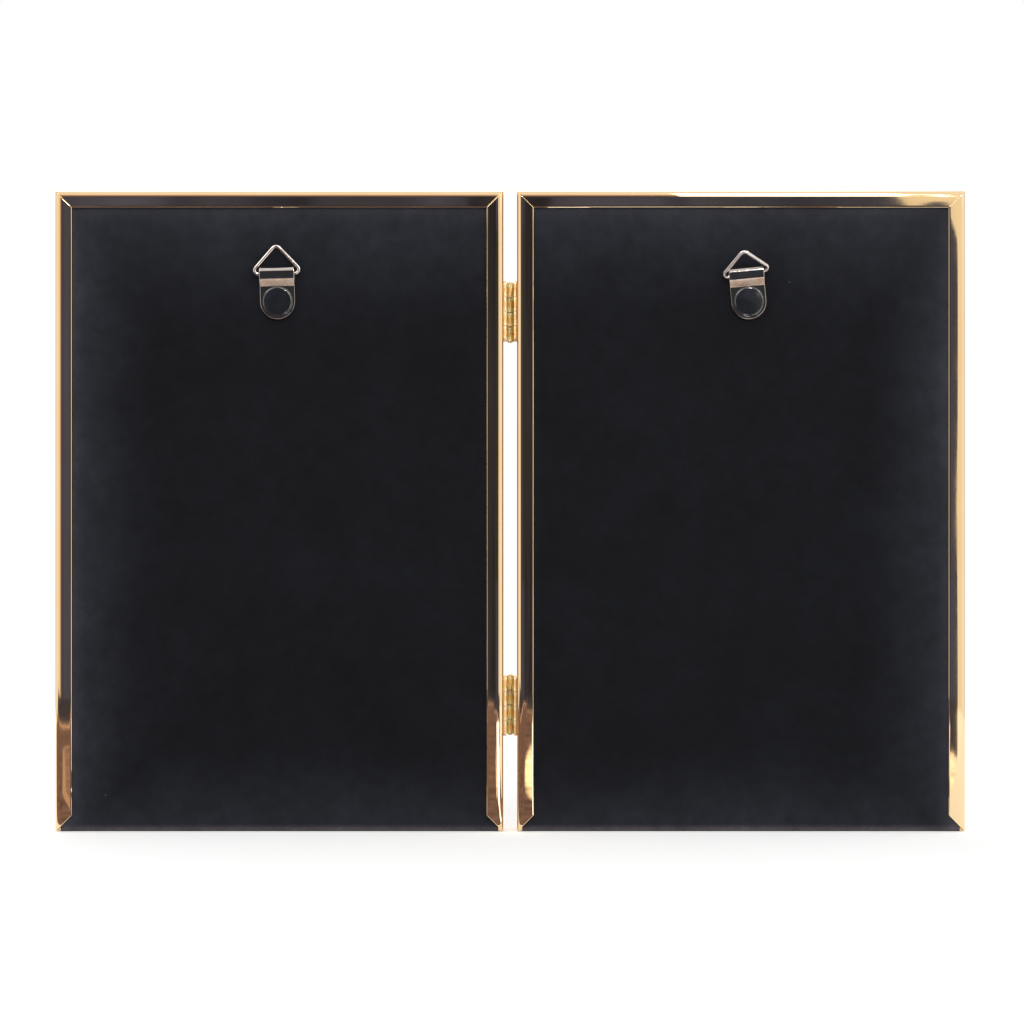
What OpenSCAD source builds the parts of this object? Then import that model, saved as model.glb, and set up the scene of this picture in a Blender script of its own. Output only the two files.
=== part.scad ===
// Double photo frame: two upright panels of mitred metal rail, joined by two small butt hinges.
// It stands on its bottom rails. The glass side faces -Y, the velvet back with its hangers faces +Y,
// and the hinge axis is at x = 0. Left and right are as seen from the glass side.

/* [Photo and panels] */
// Width of the photo that a panel holds
photo_w = 101.6; // [88.9:0.1:127]
// Height of the photo that a panel holds
photo_h = 152.4; // [127:0.1:178]
// From the edge of the photo to the outer face of the panel
photo_margin = 8.25; // [7.8:0.05:12]
// Gap between the panels when the frame lies open and flat
panel_gap = 3.6; // [3.3:0.1:5]
// Depth of a panel from its front face to the back of its lip
panel_depth = 11; // [10.2:0.1:14]

/* [Rails] */
// Outer wall of a rail
wall_t = 1.2; // [0.9:0.05:1.5]
// Front plate of a rail
face_t = 1.2; // [0.9:0.05:1.5]
// Inner wall and shelf of a rail
web_t = 1; // [0.7:0.05:1.2]
// How far the front plate covers the edge of the photo
sight_cover = 1.95; // [1.5:0.05:4]
// Thickness of the sight edge that turns back to the glass
sight_t = 1.2; // [0.8:0.05:1.4]
// Depth of the sight edge from the front face to the glass
sight_depth = 2.6; // [1.9:0.05:3]
// Width of the lip that holds the board
lip_w = 4.4; // [2.5:0.1:6]
// Thickness of the lip
lip_t = 1; // [0.7:0.05:1.4]
// Rounding of the long outer edges
edge_r = 1.4; // [0.4:0.05:1.6]
// Rounding of the free edges of the lip and the front plate
rim_r = 0.25; // [0.1:0.05:0.6]

/* [Glass, print and board] */
// Thickness of the glass
glass_t = 2; // [1.5:0.05:2.4]
// Thickness of the card behind the glass
print_t = 0.3; // [0.2:0.05:0.5]
// Side clearance of the glass, the print and the pad in their pocket
pack_clear = 0.35; // [0.1:0.05:0.6]
// Thickness of the back board
board_t = 2.5; // [2:0.05:3]
// Thickness of the velvet
velvet_t = 0.4; // [0.2:0.05:0.8]
// Side clearance of the board in its groove
board_clear = 0.15; // [0.05:0.05:0.5]
// Play of the covered board between the shelf and the lip
slot_play = 0.1; // [0.05:0.05:0.3]
// Rounding of the board's corners
board_corner_r = 1.5; // [0.5:0.1:6]
// How far the covered board ends above the bottom of the panel
board_lift = 0.1; // [0.05:0.05:1]

/* [Hinges] */
// Height of a hinge
hinge_h = 15.6; // [13:0.1:24]
// From the top of the panel to the middle of the upper hinge
hinge_from_top = 31.5; // [26:0.5:50]
// From the bottom of the panel to the middle of the lower hinge
hinge_from_bottom = 33; // [26:0.5:50]
// Width of a leaf from the hinge axis to its free edge
leaf_w = 8.5; // [7:0.1:9.5]
// Thickness of a leaf
leaf_t = 0.8; // [0.6:0.05:0.9]
// Rounding of a leaf's free corners
leaf_corner_r = 0.6; // [0.2:0.1:1.5]
// Gap between the barrel and the side faces of the panels
barrel_clear = 0.2; // [0.1:0.05:0.3]
// Running clearance of the pin in its knuckles
pin_clear = 0.05; // [0.02:0.01:0.1]
// Gap between one knuckle and the next
knuckle_gap = 0.15; // [0.1:0.05:0.3]
// Number of knuckles in a hinge
knuckles = 4; // [2:2:6]
// How far the hinge axis lies in front of the panels
axis_lead = 0.3; // [0.2:0.05:0.6]
// How far the pin stands out of the barrel at each end
pin_proud = 0.3; // [0.1:0.05:0.8]
// Diameter of a hinge screw
screw_d = 2; // [1.4:0.1:2.4]
// Diameter of a screw's head
screw_head_d = 2.8; // [2.5:0.1:3.4]
// Height of a screw's head
screw_head_h = 0.55; // [0.35:0.05:0.7]
// Distance between the two screws of a leaf
screw_spacing = 8.4; // [7:0.1:9.4]
// How far the line of the screws lies behind the middle of the rail's hollow
screw_shift = 0.2; // [-0.2:0.1:0.5]
// Thickness of the threaded plate behind the screws
nut_t = 1.5; // [1:0.1:2.5]

/* [Hangers] */
// From the top of the panel to the middle of the rivet
rivet_from_top = 29.2; // [24:0.1:50]
// How far the right panel's rivet sits outwards of the middle of its panel
right_rivet_shift = 0.4; // [-10:0.1:10]
// How far the left panel's rivet sits outwards of the middle of its panel
left_rivet_shift = 2; // [-10:0.1:10]
// Width of the strap
strap_w = 9.2; // [8.4:0.1:9.2]
// Thickness of the strap's metal
strap_t = 0.7; // [0.5:0.05:0.8]
// From the rivet up to the top of the fold
strap_reach = 9.05; // [9:0.05:9.2]
// Gap between the two layers of the folded strap
fold_gap = 0.1; // [0.05:0.05:0.2]
// Depth of the fold round the ring from the velvet to its front face
fold_depth = 3.1; // [3.05:0.05:3.15]
// Outer radius at the front of the fold
fold_r = 1.15; // [1.1:0.05:1.3]
// Height of the slope on which the front layer comes back to the board
bend_run = 2.1; // [1.9:0.05:2.3]
// From the rivet up to the foot of that slope
bend_foot = 4.05; // [4.05:0.05:4.2]
// Radius of the bends above and below the slope, on the middle of the metal
bend_r = 0.6; // [0.5:0.05:0.7]
// Turn of the right strap about its rivet, in degrees
right_strap_turn = 1.5; // [-10:0.5:10]
// Turn of the left strap about its rivet, in degrees
left_strap_turn = 5.5; // [-10:0.5:10]
// Diameter of the ring's wire
wire_d = 1; // [0.8:0.05:1]
// How much thinner the bending leaves the wire, on its radius
wire_thinning = 0.02; // [0.01:0.01:0.04]
// From the top of the fold down to the bar of the ring
bar_drop = 1.75; // [1.7:0.05:1.8]
// Gap between the bar and the front layer of the fold
bar_gap = 0.15; // [0.1:0.05:0.2]
// Outer width of the ring
ring_w = 12.6; // [12.6:0.1:18]
// From the bar in the fold to the outer top of the ring
ring_reach = 7.7; // [7.5:0.1:12]
// Centreline radius of the ring's two lower corners
ring_corner_r = 1.05; // [0.9:0.05:1.2]
// Centreline radius of the ring's top
ring_top_r = 1.3; // [0.9:0.05:2]
// How far the left ring lies askew in its fold, in degrees
left_ring_skew = 4.5; // [-4.5:0.5:4.5]
// How far the left ring is tipped away from the board, in degrees
left_ring_tip = 40; // [0:1:90]
// Diameter of the rivet's head
rivet_head_d = 8; // [6:0.1:8]
// Height of the rivet's head
rivet_head_h = 1.5; // [0.8:0.1:1.8]
// Diameter of the rivet's shank
rivet_d = 3; // [2:0.1:4]
// Diameter of the rivet's flared tail
rivet_tail_d = 5.5; // [4.6:0.1:7]
// Thickness of the rivet's flared tail
rivet_tail_t = 0.6; // [0.4:0.05:1]

/* [Corner keys] */
// Length of a key's leg from the outer corner of the panel
key_len = 17; // [13:0.5:22]
// Clearance of a key in the hollow of the rails
key_clear = 0.15; // [0.05:0.05:0.4]
// Bevel at the tips of a key
key_bevel = 0.8; // [0.3:0.1:1.5]

/* [Hidden] */

$fn = 48;
over = 0.5;                      // overrun of a cut past the face that it leaves

gold = "#d8b06c";
brass = "#c89b3c";
nickel = "#c9c2b8";
gunmetal = "#4d4a49";
velvet_black = "#1e1f24";
rivet_black = "#26272b";

// Panels: v runs from the front face (0) to the back of the lip (panel_depth)
panel_w = photo_w + 2 * photo_margin;
panel_h = photo_h + 2 * photo_margin;
face_w = photo_margin + sight_cover;
pocket_in = photo_margin - pack_clear;                               // outer face of panel to pocket
shelf_v = panel_depth - lip_t - slot_play - velvet_t - board_t;      // shelf that the board slides on
board_v = shelf_v + slot_play / 2;
velvet_v = board_v + board_t;
back_v = velvet_v + velvet_t;                                        // face that the hangers lie on
print_v = sight_depth + glass_t;
pad_v = print_v + print_t;
pad_t = shelf_v - slot_play - pad_v;
board_edge = wall_t + board_clear;
board_bottom = board_lift + velvet_t;

// Hinges
barrel_r = panel_gap / 2 - barrel_clear;
pin_r = barrel_r - leaf_t - pin_clear;
knuckle_pitch = hinge_h / knuckles;
hinge_heights = [panel_h - hinge_from_top, hinge_from_bottom];
screw_v = (face_t + shelf_v - web_t) / 2 + screw_shift;
screw_back = screw_v + axis_lead;                                    // from the hinge axis to the screws
screw_hole_r = screw_d / 2 + pin_clear;
screw_len = leaf_t + wall_t + nut_t;
slot_w = screw_head_d / 6;
slot_deep = screw_head_h / 2;
nut_side_gap = pin_clear;

// Hangers: measured from the rivet, on the face of the velvet
strap_stack = 2 * strap_t + fold_gap;
fold_back_r = fold_depth - fold_r;                                   // the fold is rounder at its back
bend_shift = fold_depth - strap_stack;
bend_lean = 2 * bend_r - bend_shift;
bend_slope = sqrt(pow(bend_run, 2) + pow(bend_lean, 2) - pow(2 * bend_r, 2));
bend_angle = atan2(bend_run, bend_lean) - atan2(bend_slope, 2 * bend_r);
bend_steps = 8;
wire_r = wire_d / 2;
bar_r = wire_r + wire_thinning;                                      // the bar keeps its full thickness
bar_z = strap_reach - bar_drop;
bar_y = fold_depth - strap_t - bar_gap - bar_r;
ring_top = ring_reach - wire_r;                                      // centreline of the ring's top
ring_corner_x = ring_w / 2 - wire_r - ring_corner_r;
top_centre_z = ring_top - ring_top_r;
leg_run = norm([ring_corner_x, top_centre_z - ring_corner_r]);
leg_normal = atan2(top_centre_z - ring_corner_r, -ring_corner_x)
             - acos((ring_corner_r - ring_top_r) / leg_run);
wire_sides = 16;
bar_len = 2 * (ring_corner_x - wire_thinning);
rivet_clear = pin_clear;
rivet_rim_h = rivet_head_h / 4;

// The frame is centred front to back between the hinge barrel and what stands out furthest behind
front_reach = axis_lead + barrel_r;
ring_out = bar_y + ring_top * sin(left_ring_tip) + wire_r;
back_reach = back_v + max(ring_out, fold_depth, strap_stack + rivet_head_h);
front_y = (front_reach - back_reach) / 2;

// Flat shapes

// What a rounding of radius r takes off a square corner at the origin
module corner_cut(r) {
  difference() {
    translate([-over, -over]) square(r + over);
    translate([r, r]) circle(r = r);
  }
}

// Rectangle from the origin with rounded corners
module soft_rect(w, h, r) {
  translate([r, 0]) square([w - 2 * r, h]);
  translate([0, r]) square([w, h - 2 * r]);
  for (x = [r, w - r], y = [r, h - r]) translate([x, y]) circle(r = r);
}

// Section of a rail: depth v to the right, distance in from the outer face upwards
module rail_section(lipped) {
  rail_v = lipped ? panel_depth : shelf_v;
  difference() {
    union() {
      square([rail_v, wall_t]);
      square([shelf_v, pocket_in]);
      square([sight_depth, face_w]);
      if (lipped) translate([panel_depth - lip_t, 0]) square([lip_t, lip_w]);
    }
    translate([face_t, wall_t]) square([shelf_v - web_t - face_t, pocket_in - web_t - wall_t]);
    translate([face_t, pocket_in]) square([sight_depth - face_t + over, face_w - sight_t - pocket_in]);
    corner_cut(edge_r);
    translate([0, face_w]) mirror([0, 1]) corner_cut(rim_r);
    translate([rail_v, 0]) mirror([1, 0]) corner_cut(lipped ? edge_r : rim_r);
    if (lipped) translate([panel_depth, lip_w]) rotate(180) corner_cut(rim_r);
  }
}

// Rails, in the right panel's own frame: x from its hinge side, y = v from its front face

// Rail along x with its outer face at z = 0, cut at 45 degrees at both ends
module rail(length, lipped) {
  inner = face_w + over;
  intersection() {
    translate([-over, 0, 0]) rotate([90, 0, 90]) linear_extrude(length + 2 * over) rail_section(lipped);
    translate([0, panel_depth + over, 0]) rotate([90, 0, 0]) linear_extrude(panel_depth + 2 * over)
      polygon([[-over, -over], [length + over, -over], [length - inner, inner], [inner, inner]]);
  }
}

module upright_rail() {
  mirror([1, 0, -1]) rail(panel_h, true);
}

module hinge_rail() {
  difference() {
    upright_rail();
    for (z = hinge_heights, s = [-1, 1])
      translate([-over, screw_v, z + s * screw_spacing / 2])
        rotate([0, 90, 0]) cylinder(r = screw_hole_r, h = wall_t + 2 * over);
  }
}

module outer_rail() {
  translate([panel_w, 0, 0]) mirror([1, 0, 0]) upright_rail();
}

module top_rail() {
  translate([0, 0, panel_h]) mirror([0, 0, 1]) rail(panel_w, true);
}

module bottom_rail() {
  rail(panel_w, false);
}

// L-shaped key in the hollow of a bottom left corner
module corner_key() {
  near = wall_t + key_clear;
  far = pocket_in - web_t - key_clear;
  tip = key_len - key_bevel;
  b = key_bevel;
  deep = shelf_v - web_t - face_t - 2 * key_clear;
  translate([0, face_t + key_clear + deep, 0]) rotate([90, 0, 0]) linear_extrude(deep)
    polygon([[near + b, near], [tip, near], [key_len, near + b], [key_len, far - b], [tip, far],
             [far, far], [far, tip], [far - b, key_len], [near + b, key_len], [near, tip],
             [near, near + b]]);
}

module corner_keys() {
  for (flip_x = [0, 1], flip_z = [0, 1])
    translate([flip_x * panel_w, 0, flip_z * panel_h])
      mirror([flip_x, 0, 0]) mirror([0, 0, flip_z]) corner_key();
}

// What lies in the pocket behind the front plates: a sheet from v0, t thick
module pack_sheet(v0, t) {
  translate([photo_margin, v0, photo_margin - pack_clear + slot_play])
    cube([photo_w, t, photo_h]);
}

// Board with its velvet

module board_outline(bottom) {
  translate([board_edge, bottom])
    soft_rect(panel_w - 2 * board_edge, panel_h - board_edge - bottom, board_corner_r);
}

module board_sheet(v0, t, bottom) {
  translate([0, v0 + t, 0]) rotate([90, 0, 0]) linear_extrude(t) board_outline(bottom);
}

module rivet_bore(shift, v0, v1, r) {
  translate([panel_w / 2 + shift, v0, panel_h - rivet_from_top])
    rotate([-90, 0, 0]) cylinder(r = r, h = v1 - v0);
}

module back_board(shift) {
  difference() {
    board_sheet(board_v, board_t, board_bottom);
    rivet_bore(shift, board_v - over, velvet_v + over, rivet_d / 2 + rivet_clear);
    rivet_bore(shift, board_v - over, board_v + rivet_tail_t, rivet_tail_d / 2 + rivet_clear);
  }
}

// Velvet on the back of the board, turned round its bottom edge
module velvet_cover(shift) {
  edge = board_edge + board_corner_r;
  difference() {
    union() {
      board_sheet(velvet_v, velvet_t, board_bottom);
      translate([edge, board_v, board_lift]) cube([panel_w - 2 * edge, board_t, velvet_t]);
      translate([edge, velvet_v, board_lift]) cube([panel_w - 2 * edge, velvet_t, velvet_t + board_corner_r]);
    }
    rivet_bore(shift, velvet_v - over, back_v + over, rivet_d / 2 + rivet_clear);
  }
}

// Hanger, measured from the rivet on the face of the velvet: y outwards, z up

// Point at radius r and angle a round c
function on_arc(c, r, a) = c + r * [cos(a), sin(a)];

// Angles in even steps from a0 to a1
function arc_angles(a0, a1) = [for (k = [0 : bend_steps]) a0 + (a1 - a0) * k / bend_steps];

// Points along an arc from angle a0 to a1, without its first point where skip is 1
function arc_points(c, r, a0, a1, skip = 0) =
  [for (k = [skip : bend_steps]) on_arc(c, r, a0 + (a1 - a0) * k / bend_steps)];

// Section of the folded strap as one outline: y to the right, z upwards
module strap_section() {
  low = -strap_w / 2 - over;
  half = strap_t / 2;
  flat_y = strap_t + fold_gap;
  back = [fold_back_r, strap_reach - fold_back_r];
  front = [fold_back_r, strap_reach - fold_r];
  upper = [fold_depth - half - bend_r, bend_foot + bend_run];
  lower = [flat_y + half + bend_r, bend_foot];
  polygon(concat(
    [[0, low]],
    arc_points(back, fold_back_r, 180, 90),
    arc_points(front, fold_r, 90, 0, 1),
    arc_points(upper, bend_r + half, 0, -bend_angle),
    arc_points(lower, bend_r - half, 180 - bend_angle, 180),
    [[flat_y + strap_t, low], [flat_y, low]],
    arc_points(lower, bend_r + half, 180, 180 - bend_angle),
    arc_points(upper, bend_r - half, -bend_angle, 0),
    arc_points(front, fold_r - strap_t, 0, 90),
    arc_points(back, fold_back_r - strap_t, 90, 180, 1),
    [[strap_t, low]]));
}

module hanger_strap() {
  wide = strap_w + 2 * over;
  difference() {
    intersection() {
      translate([-wide / 2, 0, 0]) rotate([90, 0, 90]) linear_extrude(wide) strap_section();
      union() {
        translate([0, -over, 0]) rotate([-90, 0, 0]) cylinder(d = strap_w, h = fold_depth + 2 * over);
        translate([-strap_w / 2, -over, 0]) cube([strap_w, fold_depth + 2 * over, strap_reach + over]);
      }
    }
    translate([0, -over, 0])
      rotate([-90, 0, 0]) cylinder(r = rivet_d / 2 + rivet_clear, h = strap_stack + 2 * over);
  }
}

module hanger_rivet() {
  dome_h = rivet_head_h - rivet_rim_h;
  dome_r = (pow(rivet_head_d / 2, 2) + pow(dome_h, 2)) / (2 * dome_h);
  sunk = velvet_t + board_t;
  rotate([-90, 0, 0]) {
    intersection() {
      translate([0, 0, strap_stack + rivet_head_h - dome_r]) sphere(r = dome_r, $fn = 128);
      translate([0, 0, strap_stack]) cylinder(d = rivet_head_d, h = rivet_head_h);
    }
    translate([0, 0, -sunk]) cylinder(d = rivet_d, h = sunk + strap_stack + rivet_rim_h);
    translate([0, 0, -sunk]) cylinder(d = rivet_tail_d, h = rivet_tail_t);
  }
}

// Ring in the plane y = 0 with its bar along x through the origin: round wire swept round a loop
// of two corners and a top, whose ends are joined by straight runs, and the bar that it turns on
module ring_wire() {
  right = arc_angles(-90, leg_normal);
  top = arc_angles(leg_normal, 180 - leg_normal);
  left = arc_angles(180 - leg_normal, 270);
  stations = concat(
    [for (a = right) [[ring_corner_x, ring_corner_r], ring_corner_r, a]],
    [for (a = top) [[0, top_centre_z], ring_top_r, a]],
    [for (a = left) [[-ring_corner_x, ring_corner_r], ring_corner_r, a]]);
  count = len(stations);
  points = [for (s = stations, j = [0 : wire_sides - 1])
    let (q = on_arc(s[0], s[1] + wire_r * cos(j * 360 / wire_sides), s[2]))
    [q[0], wire_r * sin(j * 360 / wire_sides), q[1]]];
  faces = [for (i = [0 : count - 1], j = [0 : wire_sides - 1])
    let (n = (i + 1) % count, m = (j + 1) % wire_sides)
    [i * wire_sides + j, n * wire_sides + j, n * wire_sides + m, i * wire_sides + m]];
  polyhedron(points = points, faces = faces);
  translate([-bar_len / 2, 0, 0]) rotate([0, 90, 0]) cylinder(r = bar_r, h = bar_len);
}

module hanger_ring(skew, tip) {
  translate([0, bar_y, bar_z]) rotate([0, skew, 0]) rotate([-tip, 0, 0]) ring_wire();
}

// Hinge, measured from its axis at mid height: y backwards, x to the right

// Right leaf; first is the number of its topmost knuckle, counted from the top
module hinge_leaf(first) {
  knuckle_len = knuckle_pitch - knuckle_gap;
  inside = panel_gap / 2 - leaf_t;
  difference() {
    union() {
      translate([inside, 0, -hinge_h / 2]) rotate([90, 0, 90]) linear_extrude(leaf_t) {
        soft_rect(leaf_w, hinge_h, leaf_corner_r);
        square([leaf_w / 2, hinge_h]);
      }
      for (i = [first : 2 : knuckles - 1])
        translate([0, 0, hinge_h / 2 - (i + 1) * knuckle_pitch + knuckle_gap / 2])
          cylinder(r = barrel_r, h = knuckle_len);
    }
    translate([0, 0, -hinge_h / 2 - over]) cylinder(r = pin_r + pin_clear, h = hinge_h + 2 * over);
    for (i = [1 - first : 2 : knuckles - 1])
      translate([inside - over, -over, hinge_h / 2 - (i + 1) * knuckle_pitch - knuckle_gap / 2])
        cube([leaf_t + 2 * over, over + barrel_r + barrel_clear, knuckle_pitch + knuckle_gap]);
    for (s = [-1, 1])
      translate([inside - over, screw_back, s * screw_spacing / 2])
        rotate([0, 90, 0]) cylinder(r = screw_hole_r, h = leaf_t + 2 * over);
  }
}

module hinge_pin() {
  straight = hinge_h + pin_proud;
  translate([0, 0, -straight / 2]) cylinder(r = pin_r, h = straight);
  for (s = [0, 1]) mirror([0, 0, s])
    translate([0, 0, straight / 2]) cylinder(r1 = pin_r, r2 = pin_r / 2, h = pin_proud / 2);
}

// Screw along +x with the underside of its domed head at x = 0
module hinge_screw() {
  dome_r = (pow(screw_head_d / 2, 2) + pow(screw_head_h, 2)) / (2 * screw_head_h);
  rotate([0, 90, 0]) difference() {
    union() {
      cylinder(d = screw_d, h = screw_len);
      intersection() {
        translate([0, 0, dome_r - screw_head_h]) sphere(r = dome_r, $fn = 96);
        translate([0, 0, -screw_head_h]) cylinder(d = screw_head_d, h = screw_head_h);
      }
    }
    translate([-slot_w / 2, -screw_head_d / 2, -screw_head_h]) cube([slot_w, screw_head_d, slot_deep]);
  }
}

module hinge_screws() {
  for (z = hinge_heights, s = [-1, 1])
    translate([-leaf_t, screw_v, z + s * screw_spacing / 2]) hinge_screw();
}

// Threaded plates against the inside of the hinge rail's outer wall
module nut_plates() {
  low_v = face_t + nut_side_gap;
  plate_w = shelf_v - web_t - face_t - 2 * nut_side_gap;
  for (z = hinge_heights)
    difference() {
      translate([wall_t, low_v, z - hinge_h / 2])
        rotate([90, 0, 90]) linear_extrude(nut_t) soft_rect(plate_w, hinge_h, leaf_corner_r);
      for (s = [-1, 1])
        translate([wall_t - over, screw_v, z + s * screw_spacing / 2])
          rotate([0, 90, 0]) cylinder(r = screw_d / 2 + pin_clear / 2, h = nut_t + 2 * over);
    }
}

// Placing

// Right panel's frame, or its mirror image for the left panel
module panel_side(left) {
  mirror([left, 0, 0]) translate([panel_gap / 2, front_y, 0]) children();
}

// At the middle of the rivet, on the velvet, turned about the rivet
module hanger_place(left, shift, turn) {
  side = left == 1 ? -1 : 1;
  translate([side * (panel_gap / 2 + panel_w / 2 + shift), front_y + back_v, panel_h - rivet_from_top])
    rotate([0, turn, 0]) children();
}

module right_hanger_place() {
  hanger_place(0, right_rivet_shift, right_strap_turn) children();
}

module left_hanger_place() {
  hanger_place(1, left_rivet_shift, left_strap_turn) children();
}

module hinge_place(left, z) {
  mirror([left, 0, 0]) translate([0, front_y - axis_lead, z]) children();
}

// Sub-parts of the right panel
module right_top_rail() color(gold) panel_side(0) top_rail();
module right_bottom_rail() color(gold) panel_side(0) bottom_rail();
module right_hinge_rail() color(gold) panel_side(0) hinge_rail();
module right_outer_rail() color(gold) panel_side(0) outer_rail();
module right_corner_keys() color("silver") panel_side(0) corner_keys();
module right_glass() color("lightcyan", 0.5) panel_side(0) pack_sheet(sight_depth, glass_t);
module right_photo_insert() color("ivory") panel_side(0) pack_sheet(print_v, print_t);
module right_filler_pad() color("tan") panel_side(0) pack_sheet(pad_v, pad_t);
module right_back_board() color("sienna") panel_side(0) back_board(right_rivet_shift);
module right_velvet_cover() color(velvet_black) panel_side(0) velvet_cover(right_rivet_shift);
module right_hanger_strap() color(gunmetal) right_hanger_place() hanger_strap();
module right_hanger_rivet() color(rivet_black) right_hanger_place() hanger_rivet();
module right_hanger_ring() color(nickel) right_hanger_place() hanger_ring(0, 0);
module right_nut_plates() color("silver") panel_side(0) nut_plates();
module right_hinge_screws() color(brass) panel_side(0) hinge_screws();

// Sub-parts of the left panel
module left_top_rail() color(gold) panel_side(1) top_rail();
module left_bottom_rail() color(gold) panel_side(1) bottom_rail();
module left_hinge_rail() color(gold) panel_side(1) hinge_rail();
module left_outer_rail() color(gold) panel_side(1) outer_rail();
module left_corner_keys() color("silver") panel_side(1) corner_keys();
module left_glass() color("lightcyan", 0.5) panel_side(1) pack_sheet(sight_depth, glass_t);
module left_photo_insert() color("ivory") panel_side(1) pack_sheet(print_v, print_t);
module left_filler_pad() color("tan") panel_side(1) pack_sheet(pad_v, pad_t);
module left_back_board() color("sienna") panel_side(1) back_board(left_rivet_shift);
module left_velvet_cover() color(velvet_black) panel_side(1) velvet_cover(left_rivet_shift);
module left_hanger_strap() color(gunmetal) left_hanger_place() hanger_strap();
module left_hanger_rivet() color(rivet_black) left_hanger_place() hanger_rivet();
module left_hanger_ring() color(nickel) left_hanger_place() hanger_ring(left_ring_skew, left_ring_tip);
module left_nut_plates() color("silver") panel_side(1) nut_plates();
module left_hinge_screws() color(brass) panel_side(1) hinge_screws();

// Hinges
module upper_hinge_right_leaf() color(brass) hinge_place(0, hinge_heights[0]) hinge_leaf(0);
module upper_hinge_left_leaf() color(brass) hinge_place(1, hinge_heights[0]) hinge_leaf(1);
module upper_hinge_pin() color(brass) hinge_place(0, hinge_heights[0]) hinge_pin();
module lower_hinge_right_leaf() color(brass) hinge_place(0, hinge_heights[1]) hinge_leaf(0);
module lower_hinge_left_leaf() color(brass) hinge_place(1, hinge_heights[1]) hinge_leaf(1);
module lower_hinge_pin() color(brass) hinge_place(0, hinge_heights[1]) hinge_pin();

right_top_rail();
right_bottom_rail();
right_hinge_rail();
right_outer_rail();
right_corner_keys();
right_glass();
right_photo_insert();
right_filler_pad();
right_back_board();
right_velvet_cover();
right_hanger_strap();
right_hanger_rivet();
right_hanger_ring();
right_nut_plates();
right_hinge_screws();
left_top_rail();
left_bottom_rail();
left_hinge_rail();
left_outer_rail();
left_corner_keys();
left_glass();
left_photo_insert();
left_filler_pad();
left_back_board();
left_velvet_cover();
left_hanger_strap();
left_hanger_rivet();
left_hanger_ring();
left_nut_plates();
left_hinge_screws();
upper_hinge_right_leaf();
upper_hinge_left_leaf();
upper_hinge_pin();
lower_hinge_right_leaf();
lower_hinge_left_leaf();
lower_hinge_pin();
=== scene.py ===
# Double photo frame seen from the back: gold rails, black velvet boards, wire hangers, brass hinges
import math

import bmesh
import bpy
from mathutils import Matrix, Vector


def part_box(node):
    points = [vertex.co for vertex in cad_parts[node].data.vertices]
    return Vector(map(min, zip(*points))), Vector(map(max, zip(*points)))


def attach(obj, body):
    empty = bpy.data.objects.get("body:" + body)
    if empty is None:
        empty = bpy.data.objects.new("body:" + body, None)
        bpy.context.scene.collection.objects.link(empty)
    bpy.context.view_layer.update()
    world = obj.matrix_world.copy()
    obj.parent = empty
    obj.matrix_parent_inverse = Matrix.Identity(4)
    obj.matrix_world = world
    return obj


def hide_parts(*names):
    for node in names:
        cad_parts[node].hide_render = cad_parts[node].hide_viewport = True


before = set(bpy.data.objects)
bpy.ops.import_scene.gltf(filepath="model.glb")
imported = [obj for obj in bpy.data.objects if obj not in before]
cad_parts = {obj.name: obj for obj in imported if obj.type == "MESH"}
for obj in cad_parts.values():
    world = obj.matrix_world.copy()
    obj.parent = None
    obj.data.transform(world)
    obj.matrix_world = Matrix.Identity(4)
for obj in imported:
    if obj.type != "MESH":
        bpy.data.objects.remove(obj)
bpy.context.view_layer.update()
scene = bpy.context.scene
mm = 0.001
sideSign = {"right": 1, "left": -1}  # which side of the hinge axis a panel is on


# Nodes and materials

noiseSpan = (0.3, 0.7)  # noise mostly stays between these values


def addNode(tree, kind, inputs=None, **settings):
    node = tree.nodes.new("ShaderNode" + kind)
    for name, value in settings.items():
        setattr(node, name, value)
    for name, value in (inputs or {}).items():
        if isinstance(value, bpy.types.NodeSocket):
            tree.links.new(value, node.inputs[name])
        else:
            node.inputs[name].default_value = value
    return node


def mathOf(tree, operation, *values):
    return addNode(tree, "Math", dict(enumerate(values)), operation=operation).outputs[0]


def coordinatesOf(tree, kind):
    return addNode(tree, "TexCoord").outputs[kind]


def axesOf(tree, vector):
    return addNode(tree, "SeparateXYZ", {0: vector}).outputs


def newMaterial(name, **fixed):
    material = bpy.data.materials.new(name)
    material.use_nodes = True
    tree = material.node_tree
    shader = tree.nodes["Principled BSDF"]
    for key, value in fixed.items():
        shader.inputs[key.replace("_", " ")].default_value = value
    return material, tree, shader, coordinatesOf(tree, "Object")


def joinTo(tree, shader, **sockets):
    for key, socket in sockets.items():
        tree.links.new(socket, shader.inputs[key.replace("_", " ")])


def noiseAt(tree, place, scale, detail=2.0, roughness=0.5, stretch=(1, 1, 1)):
    # Noise on the piece's own metres: scale is in bumps per metre
    if stretch != (1, 1, 1):
        place = addNode(tree, "Mapping", {"Vector": place, "Scale": stretch}).outputs[0]
    wanted = {"Vector": place, "Scale": scale, "Detail": detail, "Roughness": roughness}
    return addNode(tree, "TexNoise", wanted).outputs["Fac"]


def blendColours(tree, factor, first, second, how="MIX"):
    node = addNode(tree, "Mix", {0: factor, 6: first, 7: second}, data_type="RGBA", blend_type=how)
    return node.outputs[2]


def rangeOf(tree, value, low, high, fromLow=0.0, fromHigh=1.0):
    wanted = {"Value": value, "From Min": fromLow, "From Max": fromHigh, "To Min": low, "To Max": high}
    return addNode(tree, "MapRange", wanted).outputs[0]


def bumpOf(tree, height, depth, under=None):
    # depth is the real height of the bump from trough to crest, in metres
    wanted = {"Height": height, "Distance": depth, "Strength": 1.0}
    if under is not None:
        wanted["Normal"] = under
    return addNode(tree, "Bump", wanted).outputs[0]


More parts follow.
